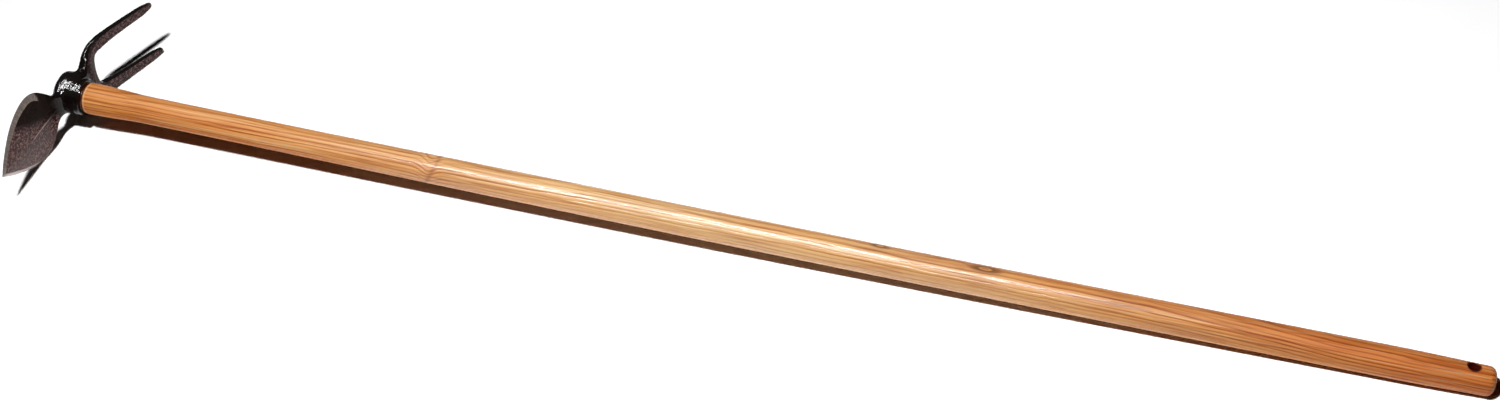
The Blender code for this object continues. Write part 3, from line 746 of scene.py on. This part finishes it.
def lacquered_forging(name):
    """Black lacquer on a forging, with bare ground steel along the cutting edge."""
    material, tree, shader = new_material(name)
    place = tool_place(tree)
    _, fork, up = add(tree, "SeparateXYZ", (place,), out=slice(3))
    normal = add(tree, "TexCoord", out="Normal")
    front, _, turned_up = add(tree, "SeparateXYZ", (normal,), out=slice(3))
    from_edge = add(tree, "Attribute", out="Fac", attribute_name="from_edge")
    low_side = add(tree, "MapRange", (up, LOW_SIDE_SOFT, -LOW_SIDE_SOFT))
    ground = ground_share(tree, place, from_edge, low_side, front)

    reach = add(tree, "Math", (fork,), operation="ABSOLUTE")
    on_fork = add(tree, "Math", (fork, 0.0), operation="GREATER_THAN")
    past_eye = add(tree, "Math", (on_fork, FORK_SETBACK, reach), operation="MULTIPLY_ADD")
    off_eye = add(tree, "MapRange", (past_eye, *EYE_ENDS), interpolation_type="SMOOTHSTEP")
    round_eye = add(tree, "Math", (1.0, off_eye), operation="SUBTRACT")
    broadside = add(tree, "Math", (front,), operation="ABSOLUTE")
    flat = add(tree, "MapRange", (broadside, *FLAT_FACES))
    on_flats = add(tree, "Math", (off_eye, flat), operation="MULTIPLY")

    scale_grain = grains(tree, place, SCALE_SIZES, 3.0, 0.7)
    crest = rib_highlight(tree, up, reach, on_fork, front)
    lit = lit_share(tree, up, reach, on_fork, turned_up)
    face = scale_colour(tree, place, scale_grain, crest, lit)
    steel, scratches = ground_steel(tree, from_edge, low_side)
    colour = layered(tree, LACQUER_BLACK, (on_flats, face, "MIX"), (ground, steel, "MIX"))

    scale_rough = add(tree, "MapRange", (scale_grain, *SCALE_ROUGH))
    rough = add(tree, "Mix", {0: on_flats, 2: LACQUER_ROUGH, 3: scale_rough})
    rough = add(tree, "Mix", {0: ground, 2: rough, 3: STEEL_ROUGH})

    dull = add(tree, "Math", (lit, -LIT_DULL, DARK_DULL), operation="MULTIPLY_ADD")
    dull = add(tree, "Math", (on_flats, dull), operation="MULTIPLY")
    by_root = hump(tree, past_eye, ROOT_AT, ROOT_WIDTH, ROOT_DULL)
    dull = add(tree, "Math", (dull, by_root), operation="MAXIMUM")
    shine = add(tree, "Math", (LACQUER_SHINE, dull), operation="SUBTRACT")
    shine = add(tree, "Math", (ground, STEEL_SHINE, shine), operation="MULTIPLY_ADD")

    scaled = add(tree, "Math", (scale_grain, on_flats), operation="MULTIPLY")
    bared = add(tree, "Math", (scratches, ground), operation="MULTIPLY")
    relief = forging_relief(tree, place, scaled, round_eye, bared, ground)
    inputs = {"Height": relief, "Strength": FORGED_RELIEF_STRENGTH, "Distance": FORGED_RELIEF * MM}
    fill(tree, shader, {
        "Base Color": colour,
        "Metallic": add(tree, "Math", (ground, STEEL_METAL), operation="MULTIPLY"),
        "Roughness": rough,
        "Specular IOR Level": shine,
        "Normal": add(tree, "Bump", inputs),
    })
    return material


forging = lacquered_forging("lacquered_forging")
head.data.materials.append(forging)
print(forging.name, "has", len(forging.node_tree.nodes), "nodes")

# %% [markdown]
# ## The bead of lacquer at the eye
# The finished tool is dipped with its handle in place, so a thin bead of dark lacquer has run into the
# corner between the eye's mouth and the wood. A torus is the natural form of a bead. It sits half in
# the corner, so that only its outer side shows. Thick lacquer is glossy, and redder where it has run thin.

# %% Lacquer bead
BEAD_THICK = 1.3
BEAD_PAST_MOUTH = 0.45
BEAD_OFF_BORE = 0.35
RUN_SIZES = (2.0, 4.0, 4.0)

bpy.ops.object.select_all(action="DESELECT")
bpy.ops.mesh.primitive_torus_add(
    location=handle_frame @ Vector(((EYE_MOUTH + BEAD_PAST_MOUTH) * MM, 0.0, 0.0)),
    rotation=(handle_turn @ Matrix.Rotation(math.radians(90), 4, "Y")).to_euler(),
    major_radius=(0.5 * BORE_DIAMETER + BEAD_OFF_BORE) * MM,
    minor_radius=0.5 * BEAD_THICK * MM,
    major_segments=96,
    minor_segments=12,
)
bead = bpy.context.view_layer.objects.active
bead.name = bead.data.name = "lacquer_bead"
settle_place(bead)
only(bead)
bpy.ops.object.shade_smooth()
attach(bead, "root")


def run_lacquer(name):
    """Thick red-brown lacquer with a few darker runs."""
    material, tree, shader = new_material(name)
    runs = grains(tree, tool_place(tree), RUN_SIZES)
    fill(tree, shader, {
        "Base Color": add(tree, "ValToRGB", (runs,), stops=((0.35, "24110b"), (0.65, "4a2114"))),
        "Roughness": 0.25,
        "Normal": add(tree, "Bump", {"Height": runs, "Strength": 0.4, "Distance": 0.2 * MM}),
    })
    return material


bead.data.materials.append(run_lacquer("run_lacquer"))
print("the bead is", round(max(bead.dimensions) / MM, 1), "mm across")

# %% [markdown]
# ## The wedges in the end of the tenon
# A hardwood wedge spreads the sawn tenon in the eye, and a steel one crosses it. Both are sound solids
# with flat faces, so they stay as they are and only get their surfaces. Sawn beech is dull, with fine
# strands. A rolled steel wedge is dark, and bright where the hammer struck.

# %% Wedge surfaces
STRAND_OF_BEECH = (12.0, 0.6, 0.6)
HAMMER_MARKS = (2.2, 2.2, 2.2)


def sawn_hardwood(name):
    """Bare beech, sawn: fine strands and open ends."""
    material, tree, shader = new_material(name)
    strands = grains(tree, tool_place(tree), STRAND_OF_BEECH, 3.0, 0.6)
    tones = ((0.3, "7d5a3a"), (0.5, "a37b52"), (0.7, "bb966a"))
    fill(tree, shader, {
        "Base Color": add(tree, "ValToRGB", (strands,), stops=tones),
        "Roughness": 0.7,
        "Normal": add(tree, "Bump", {"Height": strands, "Strength": 0.4, "Distance": 0.2 * MM}),
    })
    return material


def hammered_steel(name):
    """A mild steel wedge, dark from rolling and bright where the hammer struck."""
    material, tree, shader = new_material(name)
    marks = grains(tree, tool_place(tree), HAMMER_MARKS, 3.0)
    fill(tree, shader, {
        "Base Color": add(tree, "ValToRGB", (marks,), stops=((0.35, "4d4846"), (0.6, "8a8480"))),
        "Metallic": 1.0,
        "Roughness": add(tree, "MapRange", (marks, 0.3, 0.7, 0.3, 0.5)),
        "Normal": add(tree, "Bump", {"Height": marks, "Strength": 0.4, "Distance": 0.3 * MM}),
    })
    return material


wedge_finishes = {
    "wood_wedge": sawn_hardwood("sawn_hardwood"),
    "steel_wedge": hammered_steel("hammered_steel"),
}
for node, finish in wedge_finishes.items():
    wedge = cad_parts[node]
    wedge.data.materials.clear()
    wedge.data.materials.append(finish)
    print(node, "is", finish.name)

# %% [markdown]
# ## The table
# A wide white sheet lies under the tool. Seen straight on, or in a reflection, it is white, and a little
# whiter towards the grip, where the lamp is farther off. The light that it throws back is weaker and
# brownish, because the shadow in the picture is dark and warm. A Light Path node tells the two apart.

# %% Table
TABLE_RADIUS = 7.0
WHITER_BETWEEN = (-0.9, 0.9)
WHITENESS = (1.06, 1.42)
THROWN_BACK = "94746a"

bpy.ops.object.select_all(action="DESELECT")
bpy.ops.mesh.primitive_circle_add(vertices=96, radius=TABLE_RADIUS, fill_type="NGON")
floor = bpy.context.view_layer.objects.active
floor.name = floor.data.name = "floor"
white_table, tree, shader = new_material("white_table")
seen = 0.0
for ray in ("Is Camera Ray", "Is Glossy Ray", "Is Transmission Ray"):
    seen = add(tree, "Math", (seen, add(tree, "LightPath", out=ray)), operation="MAXIMUM")
to_the_grip = add(tree, "SeparateXYZ", (add(tree, "TexCoord", out="Object"),))
white = add(tree, "MapRange", (to_the_grip, *WHITER_BETWEEN, *WHITENESS))
table_colour = layered(tree, THROWN_BACK, (seen, white, "MIX"))
fill(tree, shader, {"Base Color": table_colour, "Roughness": 1.0, "Specular IOR Level": 0.0})
floor.data.materials.append(white_table)
print("the table is", 2.0 * TABLE_RADIUS, "m wide")

# %% [markdown]
# ## The light
# One small softbox hangs nearly overhead, a little to the camera's side. It lights every surface and
# throws the shadow close under the handle. A photographer then adds lights for the gleams alone: a long
# strip over the handle draws the pale streak down its lacquer, and a card beyond the head draws the gleam
# on the eye. Those two are seen in reflections only. A weak light from below, which throws no shadow,
# stands for the white table's own light on the underside of the handle. The room is dark but for a dim
# grey in the reflections.

# %% Light
KEY_AT = Vector((-0.36, -0.84, 2.35))
KEY_AIM = Vector((0.2, 0.0, 0.0))
KEY_SIZE, KEY_POWER = (0.18, 0.18), 76.0
STRIP_AT = Vector((-0.42, -0.84, 2.35))
STRIP_SIZE, STRIP_POWER = (1.58, 0.06), 112.0
CARD_AT = Vector((-1.79, 0.1, 2.2))
CARD_SIZE, CARD_POWER = (1.3, 0.04), 25.0
BOUNCE_AT = Vector((0.0, -0.12, -0.5))
BOUNCE_SIZE, BOUNCE_POWER = (2.2, 0.3), 7.5
HANDLE_HEIGHT = 0.04
ROOM_IN_REFLECTIONS = 0.07


def hang_lamp(name, place, aim, size, power):
    """A flat lamp at a place, facing another. size is its width and depth in metres."""
    lamp = bpy.data.objects.new(name, bpy.data.lights.new(name, "AREA"))
    bpy.context.scene.collection.objects.link(lamp)
    lamp.data.shape = "RECTANGLE"
    lamp.data.size, lamp.data.size_y = size
    lamp.data.energy = power
    lamp.matrix_world = facing(place, aim)
    print(name, "gives", power, "W")
    return lamp


def on_handle(place):
    """The point of the handle straight across from a lamp."""
    return Vector((place.x, 0.0, HANDLE_HEIGHT))


key = hang_lamp("key", KEY_AT, KEY_AIM, KEY_SIZE, KEY_POWER)
key.data.shape = "DISK"
key.visible_glossy = False
strip = hang_lamp("strip", STRIP_AT, on_handle(STRIP_AT), STRIP_SIZE, STRIP_POWER)
strip.visible_diffuse = False
card = hang_lamp("card", CARD_AT, EYE_CENTRE, CARD_SIZE, CARD_POWER)
card.visible_diffuse = False
bounce = hang_lamp("bounce", BOUNCE_AT, on_handle(BOUNCE_AT), BOUNCE_SIZE, BOUNCE_POWER)
bounce.data.use_shadow = False
bounce.data.cycles.max_bounces = 0
bounce.visible_glossy = False

# %% Room
world = bpy.data.worlds.new("room")
bpy.context.scene.world = world
world.use_nodes = True
room = world.node_tree
lights_surface = add(room, "LightPath", out="Is Diffuse Ray")
only_seen = add(room, "Math", (1.0, lights_surface), operation="SUBTRACT")
strength = add(room, "Math", (only_seen, ROOM_IN_REFLECTIONS), operation="MULTIPLY")
fill(room, room.nodes["Background"], {"Color": "ffffff", "Strength": strength})
bpy.context.scene.view_settings.view_transform = "Standard"

# %% [markdown]
# ## Sizes
# The dressed tool has to stay the size of the model.

# %% Sizes and the end
print("the scene is dressed")
